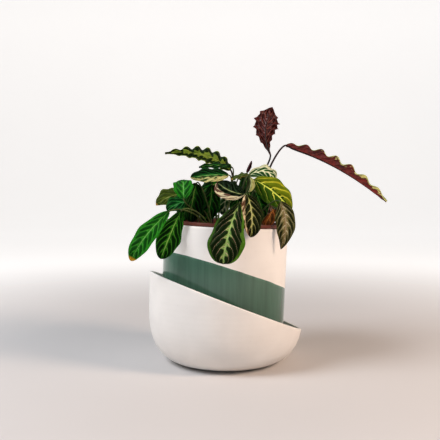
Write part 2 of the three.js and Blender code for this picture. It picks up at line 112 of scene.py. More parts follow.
# The stalks: how deep they stand in the soil, how far above it they start to bend, how far they turn into the
# blade, how steep they rise, and how thick they are in the soil, at its top and above, thinning to the blade
STALK_DEPTH = 12
STALK_FOOT = 3
STALK_TURN = 12
STALK_RISE = 0.45
STALK_STEPS = 26
STALK_SHARES = {"in soil": 1.3, "at soil": 1.35, "above": 1.25, "thins": 0.35}
# The midrib under a blade: how far along it ends, how thick it is at the tip and how much more at the stalk
RIB_STEPS = 14
RIB_END = 0.96
RIB_SHARES = {"tip": 0.12, "more": 0.9}

# The veins run out from the midrib and curve towards the tip: how far along one goes for each millimetre out,
# how its line bends, how far those of one side are shifted against the other's, and the space between two
VEIN_REACH = 1.6
VEIN_CURVE = 1.6
VEIN_STAGGER = 0.4
VEIN_SPACE = 12.4

# The eye that the leaves are set out from. A point is given by where it shows on the upright plane through
# the bowl's axis, across and up, and by how far behind that plane it is.
EYE = Vector((-9.3, -953, 256))
EYE_TILT = math.radians(90 - 2.29)
FRAME_PIXELS = 440
FOCAL_PIXELS = 610
SENSOR = 36

# The curve from the floor to the back wall, as a share of the wall's height, and its steps
WALL_CURVE = 0.6
WALL_STEPS = 24
# The stage's two lights, in metres, and the point that both look at
KEY_LIGHT = {"place": (-1.28, -0.6, 1.47), "size": 0.9, "colour": "fafbff"}
WARM_LIGHT = {"place": (1.41, -0.66, 1.1), "size": 0.5, "colour": "ffe0c8"}
LIT_POINT = Vector((0, 0, 0.2))


class Kind(NamedTuple):
    """How a kind of blade is cut into rows and columns, how full its outline is and how it waves."""

    rows: int
    columns: int
    fullness: float
    waves: int = 0
    swing: float = 0
    teeth: float = 0
    ripple: float = 0
    quilt: float = 1
    stoutness: float = 1


class Leaf(NamedTuple):
    """base and tip are the ends of the blade, bow is how far its middle stands off the line between them, and
    faces is where its upper side looks, all across, up and back. half is half its width, and root is where
    its stalk stands in the soil. widest is how far along it is widest, fold and droop are how its sides rise
    and hang, and calm is the side that waves less. A leaf with no node of its own is beside one that has."""

    name: str
    look: str
    half: float
    base: tuple
    tip: tuple
    bow: tuple
    faces: tuple
    root: tuple
    kind: str = "prayer"
    widest: float = 0.5
    fullness: float = 0
    fold: float = 12
    droop: float = 0.1
    calm: int = 0
    beside: str = ""


class Side(NamedTuple):
    """Another colour along one side of a blade: its specks, how far out it starts, and on which side."""

    colour: str
    specks: str
    start: float
    sign: int
    speckled: float


class Look(NamedTuple):
    """The markings of a blade: colours as sRGB hex values, and widths as shares of half the blade's width or
    of the space between two veins."""

    field: str
    wedge: str
    centre: str
    vein: str
    margin: str
    rib: str
    under: str
    vein_width: float
    wedge_from: float
    wedge_to: float
    centre_width: float
    jag: float
    margin_from: float
    tip: str = ""
    side: Side = None
    space: float = VEIN_SPACE
    spread: float = 0.0


KINDS = {
    "prayer": Kind(90, 26, 0.55, ripple=1.5),
    "waved": Kind(210, 22, 0.75, waves=7, swing=4, teeth=0.1, quilt=2.2, stoutness=1.4),
    "rolled": Kind(40, 16, 0.7, ripple=0.4),
}
LEAVES = [
    Leaf("leaf_left_front", "bright_feathered", 14.5, (-89, 231, -84), (-149, 154, -88), (-4, 2, -8),
         (0.1, 0.3, -1), (-34, -52), widest=0.55),
    Leaf("leaf_left_front_inner", "dark_feathered", 17, (-70, 232, -82), (-102, 157, -76), (0, 2, -4),
         (0.3, 0.2, -1), (-26, -62), widest=0.6),
    Leaf("leaf_left_olive", "olive", 17, (-70, 259, -20), (-109, 241, -24), (-2, 3, 0), (-0.4, 0.6, -0.8),
         (-36, -18), widest=0.46, fullness=0.8),
    Leaf("leaf_left_small", "bright_whole", 15, (-66, 251, -72), (-67, 280, -46), (0, 4, -3), (0, 0.6, -1),
         (-36, -36)),
    Leaf("leaf_left_teal", "teal", 16, (-59, 247, -42), (-92, 233, -52), (0, 3, 0), (-0.2, 0.8, -0.8),
         (-24, -26)),
    Leaf("leaf_left_hanging", "deep_green", 23, (-46, 275, -40), (-55, 214, -45), (-2, 0, -3),
         (0.77, 0.1, -0.7), (-22, -42), fold=22),
    Leaf("leaf_left_hanging_back", "deep_green", 16, (-22, 272, -18), (-33, 215, -18), (3, 0, -3),
         (0.1, 0.1, -1), (-14, -12)),
    Leaf("leaf_top_level", "cream_halved", 18, (4, 288, -30), (-55, 284, -40), (0, 2, 0), (0, 1, -0.78),
         (0, -20), fold=6),
    Leaf("leaf_top_thin", "deep_green", 12, (8, 301, -2), (-42, 300, -8), (0, 3, 0), (0, 1, -0.42), (0, 10),
         fold=4),
    Leaf("leaf_waved_left", "blotched", 15, (7, 296, 24), (-95, 322, 16), (9, 11, 0), (0.1, 0.8, -0.9),
         (6, 26), kind="waved", widest=0.38, fold=6, calm=-1),
    Leaf("leaf_middle_pale_band", "cream_edged", 18, (29, 258, -70), (-13, 277, -52), (-3, -3, -4),
         (-0.3, 0.9, -0.8), (12, -40), fold=5),
    Leaf("leaf_front_big", "red_veined", 25, (21, 244, -98), (-5, 149, -120), (-3, 3, -10), (0, 0.25, -1),
         (8, -64), widest=0.69, fullness=0.42, fold=6),
    Leaf("leaf_front_dark", "pale_veined", 16.5, (33, 257, -80), (39, 191, -102), (4, 2, -3),
         (0.35, 0.15, -1), (26, -54), fold=8),
    Leaf("leaf_right_yellow", "yellow_veined", 20, (44, 281, -28), (102, 233, -46), (3, 3, -3),
         (-0.1, 0.4, -1), (32, -20), widest=0.46, fullness=0.68, fold=6),
    Leaf("leaf_right_hanging", "tan_veined", 15.2, (85, 246, -66), (86, 172, -70), (7, 2, -5),
         (-0.3, 0.1, -1), (42, -40), widest=0.42, fullness=0.85, fold=14),
    Leaf("leaf_top_arch", "pale_netted", 16, (36, 288, -4), (76, 281, -16), (4, 9, 0), (0.1, 0.8, -0.7),
         (22, -2), fold=4),
    Leaf("leaf_middle_olive", "olive", 13, (34, 289, -48), (9, 281, -43), (0, 2, 0), (-0.2, 1, -0.3),
         (18, -28), fold=4),
    Leaf("leaf_pale_curled", "cream", 7, (38, 284, -54), (36, 262, -58), (2, 0, 0), (0.8, 0, -0.5),
         (26, -36), kind="rolled", fold=40),
    Leaf("leaf_new_rolled", "young_purple", 4.5, (33, 292, 12), (40, 310, 14), (-1, 0, 0), (0.6, 0, -0.8),
         (14, 8), kind="rolled", fold=60, droop=0),
    Leaf("leaf_middle_dark", "deep_green", 17, (29, 287, 36), (40, 234, 32), (2, 0, -2), (0.2, 0.3, -1),
         (12, 38)),
    Leaf("leaf_middle_left_dark", "deep_green", 14, (-4, 279, 12), (-38, 262, 8), (0, 2, -2),
         (-0.1, 0.6, -0.8), (-4, 18)),
    Leaf("leaf_waved_upright", "blotched", 19.8, (69, 320, 26), (72, 393, 44), (-9, 0, 4), (0.1, 0.1, 1),
         (34, 16), kind="waved", widest=0.66, fullness=0.95, fold=8),
    Leaf("leaf_waved_long", "flecked", 12, (94, 334, 22), (251, 247, 6), (0, 11, 0), (0.2, 1, 0.25),
         (46, 4), kind="waved", widest=0.48, fullness=0.55, fold=48, droop=0),
    Leaf("leaf_right_low_purple", "tan_veined", 9, (72, 240, -6), (52, 224, -14), (0, 3, 0), (0, -0.4, 1),
         (50, -10), fold=4),
    Leaf("leaf_back_left", "dark_feathered", 18, (-50, 259, 46), (-70, 224, 84), (-2, 6, 4),
         (-0.3, 0.7, 0.8), (-24, 20)),
    Leaf("leaf_back_left_hanging", "bright_feathered", 17, (-60, 224, 84), (-78, 166, 104), (-2, 3, 8),
         (-0.4, 0.2, 1), (-34, 44)),
    Leaf("leaf_back_hanging", "red_veined", 22, (-16, 222, 98), (-10, 160, 118), (0, 4, 9), (0.1, 0.25, 1),
         (-10, 56), widest=0.6),
    Leaf("leaf_back_right_hanging", "dark_feathered", 20, (34, 223, 92), (46, 160, 112), (1, 4, 8),
         (0.25, 0.25, 1), (18, 54), widest=0.6),
    Leaf("leaf_back_right", "teal", 17, (66, 262, 48), (84, 228, 82), (2, 6, 4), (0.4, 0.7, 0.8), (32, 34)),
    Leaf("leaf_back_side_hanging", "deep_green", 15, (80, 228, 58), (86, 178, 70), (4, 3, 4),
         (0.9, 0.2, 0.7), (50, 28)),
    Leaf("leaf_back_top", "red_veined", 15, (-10, 286, 40), (-36, 280, 78), (0, 4, 0), (-0.1, 1, 0.4),
         (-12, 34)),
    Leaf("leaf_back_middle", "bright_feathered", 16, (40, 266, 60), (36, 240, 96), (0, 5, 3), (0, 0.7, 0.9),
         (22, 42)),
    Leaf("leaf_waved_back", "blotched", 13, (-24, 264, 84), (-46, 240, 176), (0, 8, 0), (-0.1, 1, 0.3),
         (-22, 48), kind="waved", widest=0.42, fold=8),
    Leaf("leaf_inner_striped", "pale_netted", 9, (4, 258, -4), (-6, 226, -12), (-1, 0, -3), (-0.2, 0.2, -1),
         (6, 0)),
    Leaf("leaf_inner_middle_dark", "deep_green", 11, (20, 262, -14), (15, 222, -22), (0, 0, -3),
         (0, 0.2, -1), (12, -14)),
    Leaf("leaf_inner_right_dark", "deep_green", 12, (46, 262, -12), (58, 222, -22), (2, 0, -2),
         (0.1, 0.2, -1), (34, -6)),
    Leaf("leaf_left_low_dark", "deep_green", 11, (-60, 240, -24), (-66, 216, -28), (-2, 1, -1),
         (-0.3, 0.3, -1), (-42, -20)),
    Leaf("leaf_back_inner", "dark_feathered", 15, (20, 284, 38), (30, 278, 70), (0, 4, 0), (0.1, 1, 0.3),
         (6, 46)),
]
DRY_LEAVES = [
    Leaf("dry_leaf_right", "dry", 13.5, (75, 235, 24), (60, 207, 14), (2, 5, 0), (0.1, 0.5, -1), (58, 22),
         beside="leaf_inner_right_dark"),
]
LOOKS = {
    "bright_feathered": Look(
        "267a1c", "0e4210", "2c8822", "5aac44", "24701a", "80c466", "5c7c48",
        0.12, 0.06, 0.74, 0.03, 0.16, 0.95, tip="c79a2c"),
    "bright_whole": Look(
        "1f7018", "0e4212", "2c8424", "58a848", "1c6018", "7cbc66", "5c7c48",
        0.13, 0.06, 0.7, 0.05, 0.2, 0.95),
    "dark_feathered": Look(
        "246814", "052006", "2c781a", "76b848", "184a0e", "9ccc64", "4c5038",
        0.11, 0.1, 0.92, 0.06, 0.14, 0.94),
    "deep_green": Look(
        "0c3e0c", "021203", "165418", "307a24", "0c300c", "6c8c44", "12260e",
        0.1, 0.12, 0.85, 0.1, 0.12, 0.93),
    "red_veined": Look(
        "15240e", "0a1206", "73944c", "caa48c", "35591c", "9cb86c", "5a2c34",
        0.1, 0.2, 0.9, 0.14, 0.36, 0.93, side=Side("466f1c", "2a4c14", 0.78, -1, 0.6),
        space=13.7, spread=0.16),
    "pale_veined": Look(
        "20240c", "0e1206", "7a8038", "c8c480", "1c260c", "cdca90", "4c3030",
        0.12, 0.1, 0.95, 0.12, 0.2, 0.94, side=Side("dcc79c", "5c3c2c", 0.6, 1, 0.42)),
    # The yellow leaf: its bright yellow is partly its own colour and partly painted light shining through it
    # from behind, and its dark green side is partly its own green and partly painted shade
    "yellow_veined": Look(
        "a09c20", "5e6c12", "b4b82a", "e6e658", "566c14", "e2e860", "9aa04a",
        0.17, 0.1, 0.95, 0.06, 0.1, 0.9, side=Side("2f4e0c", "1c3408", -0.2, 1, 0.5), space=18),
    "teal": Look(
        "12601e", "062c10", "1c742c", "50a050", "104a22", "60a060", "445440",
        0.12, 0.1, 0.85, 0.08, 0.12, 0.93),
    "olive": Look(
        "46561a", "333f14", "52611f", "6a7830", "7c6c2c", "8c9650", "7d7a44",
        0.1, 0.1, 0.85, 0.08, 0.1, 0.95, tip="b48c3c"),
    "tan_veined": Look(
        "56502c", "1c1e0e", "8a784e", "dccca4", "2e3412", "c8ac86", "6d5548",
        0.17, 0.26, 0.95, 0.34, 0.34, 0.93),
    "cream_halved": Look(
        "0b3a12", "041206", "185c22", "256c28", "0f4016", "6c9c54", "8a8458",
        0.1, 0.1, 0.95, 0.1, 0.2, 0.94, side=Side("b8b478", "1c3c16", 0.3, -1, 0.48)),
    "cream_edged": Look(
        "0b180b", "040a04", "10280f", "244420", "16280f", "8a9460", "8a7a58",
        0.1, 0.1, 0.95, 0.08, 0.1, 0.97, side=Side("d3c8a0", "5c4036", 0.46, -1, 0.42)),
    "pale_netted": Look(
        "345c2c", "163818", "c4c494", "e6e6c0", "c8c89c", "e2e2bc", "8f9a6a",
        0.34, 0.12, 0.95, 0.14, 0.24, 0.93, side=Side("cccca4", "2c4f26", 0.5, -1, 0.5)),
    "cream": Look(
        "b9b77c", "a0a568", "c9c590", "d6d2a4", "8f9a5c", "d9d6aa", "b3ae7c",
        0.16, 0.1, 0.8, 0.1, 0.1, 0.9),
    "dry": Look(
        "7c4420", "4c2a14", "8c5426", "a06a30", "5c3018", "ac743c", "4a2e1a",
        0.14, 0.1, 0.9, 0.08, 0.2, 0.9),
    "young_purple": Look(
        "3a1820", "2c1018", "4a2229", "5c3038", "441a24", "6a4048", "4a2029",
        0.12, 0.1, 0.8, 0.1, 0.1, 0.9),
}
# The waved leaves, with oval blotches in pairs, and lime flecks and brighter red patches of painted light on
# the underside of one of them
WAVED = SimpleNamespace(
    field="748832", deep="4a601e", blotch="0f1d0a", margin="8ea048", rib="94a04c",
    under="461612", under_blotch="2a0d0c", under_vein="70342a", under_painted_light="74201a", fleck="c9c478",
    pairs=7, long_blotch=0.6, short_blotch=0.28, blotch_middle=0.64, blotch_width=0.27)
# The sheen of a blade is light that has passed through its skin, so it is green
SHEEN = "6ca04c"
STALKS = {"maroon": "24100f", "green": "4e5e2a"}


# Materials


def linear(colour):
    """An sRGB hex value as the linear colour that a shader takes."""
    shares = [int(colour[i:i + 2], 16) / 255 for i in (0, 2, 4)]
    return tuple(c / 12.92 if c <= 0.04045 else ((c + 0.055) / 1.055) ** 2.4 for c in shares) + (1,)


def shade(colour, share):
    """A linear colour made darker or paler."""
    return tuple(min(c * share, 1) for c in colour[:3]) + (1,)


def feed(socket, value):
    """Feeds a socket with a node, another socket, a hex colour or a plain value."""
    if isinstance(value, bpy.types.Node):
        value = next(output for output in value.outputs if output.enabled)
    if isinstance(value, bpy.types.NodeSocket):
        socket.id_data.links.new(value, socket)
    else:
        socket.default_value = linear(value) if isinstance(value, str) else value


def add(tree, kind, *inputs, **more):
    """Adds a node, or a Math node if its kind is an operation, and feeds its sockets in order. A name with a
    capital is a socket too, and any other name is a setting."""
    node = tree.nodes.new("ShaderNode" + ("Math" if kind.isupper() else kind))
    if kind.isupper():
        node.operation = kind
    for name, value in more.items():
        if name.islower():
            setattr(node, name, value)
    usable = [socket for socket in node.inputs if socket.enabled]
    for socket, value in zip(usable, inputs):
        feed(socket, value)
    for name, value in more.items():
        if not name.islower():
            feed(node.inputs[name], value)
    return node


def new_material(name, roughness, specular, tint="ffffff"):
    """A material and its nodes, with the single values of its Principled shader."""
    material = bpy.data.materials.new(name)
    material.use_nodes = True
    tree = material.node_tree
    values = {"Roughness": roughness, "Specular IOR Level": specular, "Specular Tint": tint}
    for socket, value in values.items():
        feed(tree.nodes["Principled BSDF"].inputs[socket], value)
    return material, tree


def finish(material, colour, height, relief, gloss=None):
    """Feeds the shader its colour and a bump of relief millimetres. gloss is a mask, and the roughness where
    it is 0 and 1."""
    tree = material.node_tree
    sockets = tree.nodes["Principled BSDF"].inputs
    bump = add(tree, "Bump", Strength=1.0, Distance=relief * MM, Height=height)
    feed(sockets["Base Color"], colour)
    feed(sockets["Normal"], bump)
    if gloss:
        mask, bare, covered = gloss
        feed(sockets["Roughness"], add(tree, "MapRange", mask, 0.0, 1.0, bare, covered))
    return material


def ramp(value, low, high):
    """A mask in the tree of value: how far value has come from low to high, from 0 to 1, with soft ends."""
    return add(value.id_data, "MapRange", value, low, high, 0.0, 1.0, interpolation_type="SMOOTHSTEP")


def laid_on(tree, colour, *layers):
    """Lays colours on one another. A layer is a mask, the colour it shows and, if faint, its strength."""
    for mask, shown, *strength in layers:
        if strength:
            mask = add(tree, "MULTIPLY", mask, *strength)
        colour = add(tree, "Mix", mask, colour, shown, data_type="RGBA")
    return colour


def grain(tree, size, detail=3.0, place=None):
    """Noise with lumps of that size in millimetres, in the object's own space or at another place."""
    place = place or add(tree, "TexCoord").outputs["Object"]
    return add(tree, "TexNoise", Vector=place, Scale=1 / (size * MM), Detail=detail)


def below_plane(tree, plane):
    """How far a point is below a slanted plane, in millimetres."""
    place = add(tree, "TexCoord").outputs["Object"]
    slope = (plane["fall_right"] / MM, plane["fall_back"] / MM, 1 / MM)
    up = add(tree, "VectorMath", place, slope, operation="DOT_PRODUCT")
    return add(tree, "SUBTRACT", float(plane["height"]), up)


def stoneware_colour(tree, clay):
    """White clay with soft clouds and fine dark grit."""
    clouds = ramp(grain(tree, 60), 0.35, 0.7)
    grit = ramp(grain(tree, 1.4, 1.0), 0.74, 0.8)
    return laid_on(tree, clay, (clouds, shade(clay, 0.93)), (grit, "a89c8e", 0.35))


def throwing_rings(tree):
    """Faint rings a few millimetres apart, left by the turner's fingers, and the fine tooth of the clay."""
    place = add(tree, "TexCoord").outputs["Object"]
    rings = add(tree, "TexWave", Vector=place, Scale=38.0, Distortion=1.6, Detail=2.0, bands_direction="Z")
    return add(tree, "MULTIPLY_ADD", grain(tree, 0.9), 0.5, rings)


def unglazed_stoneware(pots):
    """White stoneware, thrown on a wheel and left unglazed outside: dull, with faint rings and fine grit.
    Its inside has a dark green glaze up to a few millimetres below the lip, which looks wet and deep."""
    material, tree = new_material("white_stoneware_glazed_inside", 0.55, 0.4)
    inside = ramp(add(tree, "UVMap", uv_map="inside"), 0.4, 0.6)
    depth = ramp(below_plane(tree, BOWL_RIM), 4.2, 5.0)
    glazed = add(tree, "MULTIPLY", inside, depth)
    glaze = laid_on(tree, pots.glaze, (grain(tree, 9), shade(pots.glaze, 0.5)))
    colour = laid_on(tree, stoneware_colour(tree, pots.clay), (glazed, glaze))
    return finish(material, colour, throwing_rings(tree), 0.04, (glazed, 0.55, 0.14))


def dipped_stoneware(pots):
    """White stoneware dipped at a slant in green glaze: dull white above, glossy green below. The glaze is
    thin and pale at its edge, and has run in soft streaks."""
    material, tree = new_material("white_stoneware_dipped_in_green", 0.5, 0.45)
    wander = grain(tree, 30, 1.0)
    below = add(tree, "MULTIPLY_ADD", wander, 1.6, below_plane(tree, GLAZE_EDGE))
    glazed = ramp(below, 0.7, 1.1)
    pooled = ramp(below, 1.0, 5.0)
    runs = downward_runs(tree)
    glaze = laid_on(tree, shade(pots.glaze, 1.5), (pooled, pots.glaze),
                    (ramp(runs, 0.35, 0.75), shade(pots.glaze, 0.8)))
    colour = laid_on(tree, stoneware_colour(tree, pots.clay), (glazed, glaze))
    bare = add(tree, "MULTIPLY", throwing_rings(tree), 0.3)
    coat = add(tree, "MULTIPLY_ADD", runs, 0.25, 1.5)
    raised = add(tree, "Mix", glazed, bare, coat, data_type="FLOAT")
    return finish(material, colour, raised, 0.12, (glazed, 0.52, 0.11))


def downward_runs(tree):
    """Glaze that has run down the wall of the pot before it set: noise drawn out along its height."""
    place = add(tree, "TexCoord").outputs["Object"]
    return grain(tree, 5, place=add(tree, "VectorMath", place, (1.0, 1.0, 0.04), operation="MULTIPLY"))


def terracotta_plastic(pots):
    """Polypropylene moulded in terracotta brown: even, a little waxy, with soil dust and fine scuffs."""
    material, tree = new_material("terracotta_polypropylene", 0.45, 0.3)
    dust = ramp(grain(tree, 7), 0.5, 0.8)
    colour = laid_on(tree, pots.terracotta, (dust, "7c5240", 0.4))
    return finish(material, colour, grain(tree, 0.6), 0.05, (dust, 0.4, 0.65))


def potting_soil(pots):
    """Damp peat with bark and fibre: nearly black, crumbly and without shine."""
    material, tree = new_material("damp_peat_soil", 0.95, 0.2)
    bark = ramp(grain(tree, 3.2), 0.45, 0.75)
    colour = laid_on(tree, pots.soil, (bark, shade(pots.soil, 3.2)))
    return finish(material, colour, grain(tree, 1.2, 6.0), 1.2)


def vein_places(tree):
    """Where a point of the blade lies: across from -1 to 1, out from the midrib, along, the phase of the
    veins, and between, which is 0 on a vein and 1 midway to the next."""
    along = add(tree, "SeparateXYZ", add(tree, "UVMap", uv_map="UVMap")).outputs[1]
    across, straight, _ = add(tree, "SeparateXYZ", add(tree, "UVMap", uv_map="veins")).outputs
    out = add(tree, "ABSOLUTE", across)
    wander = add(tree, "MULTIPLY_ADD", grain(tree, 9, 2.0), 0.5, straight)
    phase = add(tree, "SUBTRACT", wander, 0.25)
    half = add(tree, "PINGPONG", phase, 0.5)
    between = add(tree, "MULTIPLY", half, 2.0)
    return SimpleNamespace(across=across, out=out, along=along, phase=phase, between=between)


def wedges(tree, place, look):
    """The dark blotches between the veins, which end in points near the midrib and near the margin."""
    point = look.jag * 1.4
    narrow = add(tree, "SUBTRACT", 1.0, place.between)
    inner = add(tree, "MULTIPLY_ADD", narrow, -point, place.out)
    outer = add(tree, "MULTIPLY_ADD", narrow, point, place.out)
    starts = ramp(inner, look.wedge_from, look.wedge_from + 0.06)
    ends = ramp(outer, look.wedge_to + 0.12, look.wedge_to)
    wide = ramp(place.between, look.vein_width, look.vein_width + 0.3)
    kept = add(tree, "MULTIPLY", starts, ends)
    return add(tree, "MULTIPLY", kept, wide)


def vein_lines(tree, place, look):
    """The side veins, which are widest at the midrib and fade at the margin."""
    thinner = add(tree, "MULTIPLY_ADD", place.out, look.vein_width * 0.8, place.between)
    line = ramp(thinner, look.vein_width, look.vein_width * 0.35)
    fade = ramp(place.out, 0.98, 0.8)
    return add(tree, "MULTIPLY", line, fade)


def midrib_line(place):
    return ramp(place.out, 0.07, 0.03)


def upper_skin(look_name):
    """The upper side of a living leaf: a thin waxy skin over quilted green tissue, so it has a soft shine
    that breaks at each vein. Its markings are cell colour and follow the veins, except on the yellow leaf,
    whose bright yellow is partly painted light shining through it and whose dark side is partly painted
    shade."""
    look = LOOKS[look_name]
    material, tree = new_material("leaf_skin_" + look_name, 0.36, 0.16, SHEEN)
    place = vein_places(tree)
    ragged = add(tree, "MULTIPLY_ADD", place.between, look.jag, place.out)
    centre = ramp(ragged, look.centre_width + look.jag * 0.6, look.centre_width + look.jag * 0.3)
    edge = add(tree, "MULTIPLY_ADD", place.between, 0.06, place.out)
    wider = add(tree, "MULTIPLY_ADD", place.along, look.spread, edge)
    margin = ramp(wider, look.margin_from, look.margin_from + 0.12)
    layers = [(wedges(tree, place, look), look.wedge), (margin, look.margin), (centre, look.centre)]
    if look.side:
        layers += side_layers(tree, place, look.side)
    layers += [(vein_lines(tree, place, look), look.vein), (midrib_line(place), look.rib)]
    if look.tip:
        layers.append((ramp(place.along, 0.92, 0.96), look.tip))
    fine = add(tree, "PINGPONG", add(tree, "MULTIPLY", place.phase, 5.0), 0.5)
    mottle = ramp(grain(tree, 6), 0.3, 0.8)
    shaded = add(tree, "MULTIPLY_ADD", fine, 0.5, mottle)
    value = add(tree, "MapRange", shaded, 0.0, 1.25, 1.14, 0.82)
    painted = laid_on(tree, look.field, *layers)
    colour = add(tree, "HueSaturation", Value=value, Color=painted)
    quilt = add(tree, "ADD", ramp(place.between, 0.0, 0.7), fine)
    return finish(material, colour, quilt, 0.35, (mottle, 0.27, 0.42))


def side_layers(tree, place, side):
    """Another colour along one side of the blade, torn into streaks that follow the veins."""
    out = add(tree, "MULTIPLY", place.across, float(side.sign))
    streaks = streaked_grain(tree, place)
    wander = add(tree, "MULTIPLY_ADD", streaks, 0.5, out)
    start = side.start + 0.25
    shown = ramp(wander, start, start + 0.05)
    speckled = ramp(streaks, side.speckled + 0.06, side.speckled + 0.1)
    return [(shown, side.colour), (add(tree, "MULTIPLY", shown, speckled), side.specks)]


def streaked_grain(tree, place):
    """Noise drawn out along the veins: finer from one vein to the next than along a vein."""
    corner = add(tree, "CombineXYZ", place.phase, place.out, place.across)
    finer = add(tree, "VectorMath", corner, (1.7, 2.4, 0.7), operation="MULTIPLY")
    return add(tree, "TexNoise", Vector=finer, Scale=1.0, Detail=3.0)


def under_skin(look_name):
    """The lower side of a leaf: duller than the upper, with its veins standing out a little paler."""
    material, tree = new_material("leaf_underside_" + look_name, 0.5, 0.15)
    place = vein_places(tree)
    plain = linear(LOOKS[look_name].under)
    pale = shade(plain, 1.5)
    colour = laid_on(tree, plain, (ramp(grain(tree, 12), 0.35, 0.7), shade(plain, 0.62)),
                     (ramp(place.between, 0.3, 0.05), pale, 0.5),
                     (ramp(place.out, 0.98, 1.0), pale))
    return finish(material, colour, ramp(place.between, 0.5, 0.0), 0.3)


def purple_underside(name):
    """The wine-red lower side of a waved leaf: satin, with redder veins and the blotches just showing
    through. The flecked one has brighter red patches of painted light, and lime along one edge, more and more
    towards the tip."""
    material, tree = new_material("wine_red_underside_" + name, 0.42, 0.3)
    place = vein_places(tree)
    layers = [(blotches(tree), WAVED.under_blotch, 0.25),
              (ramp(place.between, 0.35, 0.05), WAVED.under_vein, 0.6)]
    if name == "flecked":
        further = add(tree, "MULTIPLY_ADD", place.along, 1.1, place.across)
        torn = add(tree, "MULTIPLY_ADD", streaked_grain(tree, place), 1.8, further)
        # The brighter red patches on the flecked underside are painted light
        layers = [(ramp(grain(tree, 16), 0.3, 0.6), WAVED.under_painted_light), *layers,
                  (ramp(torn, 2.36, 2.42), WAVED.fleck)]
    return finish(material, laid_on(tree, WAVED.under, *layers), ramp(place.between, 0.6, 0.0), 0.5)


def blotches(tree):
    """Oval blotches on both sides of the midrib, a long one and a short one in turn."""
    across, along, _ = add(tree, "SeparateXYZ", add(tree, "UVMap", uv_map="UVMap")).outputs
    centred = add(tree, "MULTIPLY_ADD", across, 2.0, -1.0)
    out = add(tree, "ABSOLUTE", centred)
    aslant = add(tree, "MULTIPLY_ADD", out, -0.07, along)
    narrow, middle = 1 / WAVED.blotch_width, WAVED.blotch_middle
    ovals = []
    for shift, reach in ((0.0, WAVED.long_blotch), (0.5, WAVED.short_blotch)):
        turns = add(tree, "MULTIPLY_ADD", aslant, float(WAVED.pairs), shift)
        share = add(tree, "FRACT", turns)
        off = add(tree, "MULTIPLY_ADD", share, narrow, -0.5 * narrow)
        outward = add(tree, "MULTIPLY_ADD", out, 1 / reach, -middle / reach - 0.1)
        away = add(tree, "VectorMath", add(tree, "CombineXYZ", off, outward), operation="LENGTH")
        ovals.append(ramp(away, 1.08, 0.9))
    return add(tree, "MAXIMUM", *ovals)


def blotched_skin():
    """The upper side of a waved leaf: lime green with dark oval blotches and a pale line along its edge."""
    material, tree = new_material("leaf_skin_blotched", 0.38, 0.2, SHEEN)
    place = vein_places(tree)
    colour = laid_on(tree, WAVED.field, (ramp(grain(tree, 8), 0.3, 0.8), WAVED.deep),
                     (blotches(tree), WAVED.blotch), (ramp(place.out, 0.93, 0.97), WAVED.margin),
                     (midrib_line(place), WAVED.rib))
    return finish(material, colour, ramp(place.between, 0.0, 0.7), 0.2)


def stalk_skin(name):
    """A leaf stalk: smooth, a little fuzzy, greener or redder along its length."""
    material, tree = new_material("stalk_skin_" + name, 0.5, 0.2)
    colour = linear(STALKS[name])
    mottled = laid_on(tree, colour, (ramp(grain(tree, 14), 0.35, 0.65), shade(colour, 0.45)))
    return finish(material, mottled, grain(tree, 0.8), 0.08)


def made_once(kept, make, name=""):
    """The material that make gives for that name, made the first time that it is asked for."""
    if (make, name) not in kept:
        kept[make, name] = make(name) if name else make()
    return kept[make, name]


# Shared ways of making a mesh


def select_only(*pieces):
    """Selects these pieces and nothing else, and makes the last one active."""
    bpy.ops.object.select_all(action="DESELECT")
    for piece in pieces:
        piece.select_set(True)
        bpy.context.view_layer.objects.active = piece


def smooth(piece, degrees=40):
    select_only(piece)
    bpy.ops.object.shade_smooth_by_angle(angle=math.radians(degrees))


def tidy_faces(piece):
    """Merges doubled points and turns every face outwards."""
    select_only(piece)
    bpy.ops.object.mode_set(mode="EDIT")
    bpy.ops.mesh.select_all(action="SELECT")
    bpy.ops.mesh.remove_doubles(threshold=1e-6)
    bpy.ops.mesh.normals_make_consistent(inside=False)
    bpy.ops.object.mode_set(mode="OBJECT")


def added(name):
    """The object that was just added, with its name."""
    bpy.context.object.name = name
    return bpy.context.object


def shaped_grid(name, columns, rows, place):
    """A grid whose points are moved to place(share across, share along), given in millimetres."""
    select_only()
    bpy.ops.mesh.primitive_grid_add(x_subdivisions=columns, y_subdivisions=rows, size=1)
    piece = added(name)
    for point in piece.data.vertices:
        point.co = place(point.co.x + 0.5, point.co.y + 0.5) * MM
    return piece


def add_shares(piece, name, pair):
    """Adds a UV layer that holds the pair of values for each share across and share along."""
    layer = piece.data.uv_layers.new(name=name)
    shares = [corner.uv.copy() for corner in piece.data.uv_layers["UVMap"].data]
    for corner, (across, along) in zip(layer.data, shares):
        corner.uv = pair(across, along)


def around(radius, angle):
    """Across and back at that radius and angle."""
    return radius * math.cos(angle), radius * math.sin(angle)


def turned(name, section):
    """A round wall: a ring is extruded and resized along a closed section of (radius, height) pairs."""
    (radius, height), *others = section
    select_only()
    bpy.ops.mesh.primitive_circle_add(vertices=ROUND, radius=radius * MM, location=(0, 0, height * MM))
    piece = added(name)
    bpy.ops.object.transform_apply(location=True, rotation=False, scale=False)
    bpy.ops.object.mode_set(mode="EDIT")
    bpy.ops.mesh.select_all(action="SELECT")
    for next_radius, next_height in others:
        rise = (0, 0, (next_height - height) * MM)
        share = next_radius / radius
        bpy.ops.mesh.extrude_region_move(TRANSFORM_OT_translate={"value": rise})
        bpy.ops.transform.resize(value=(share, share, 1), center_override=(0, 0, next_height * MM))
        radius, height = next_radius, next_height
    bpy.ops.object.mode_set(mode="OBJECT")
    tidy_faces(piece)
    return piece


def lean(piece):
    """Leans a piece of the inner pot to the right and puts it in its place, in its mesh."""
    select_only(piece)
    piece.rotation_euler = (0, POT_LEAN, 0)
    piece.location = Vector(POT_FOOT_AT) * MM
    bpy.ops.object.transform_apply(location=True, rotation=True, scale=False)


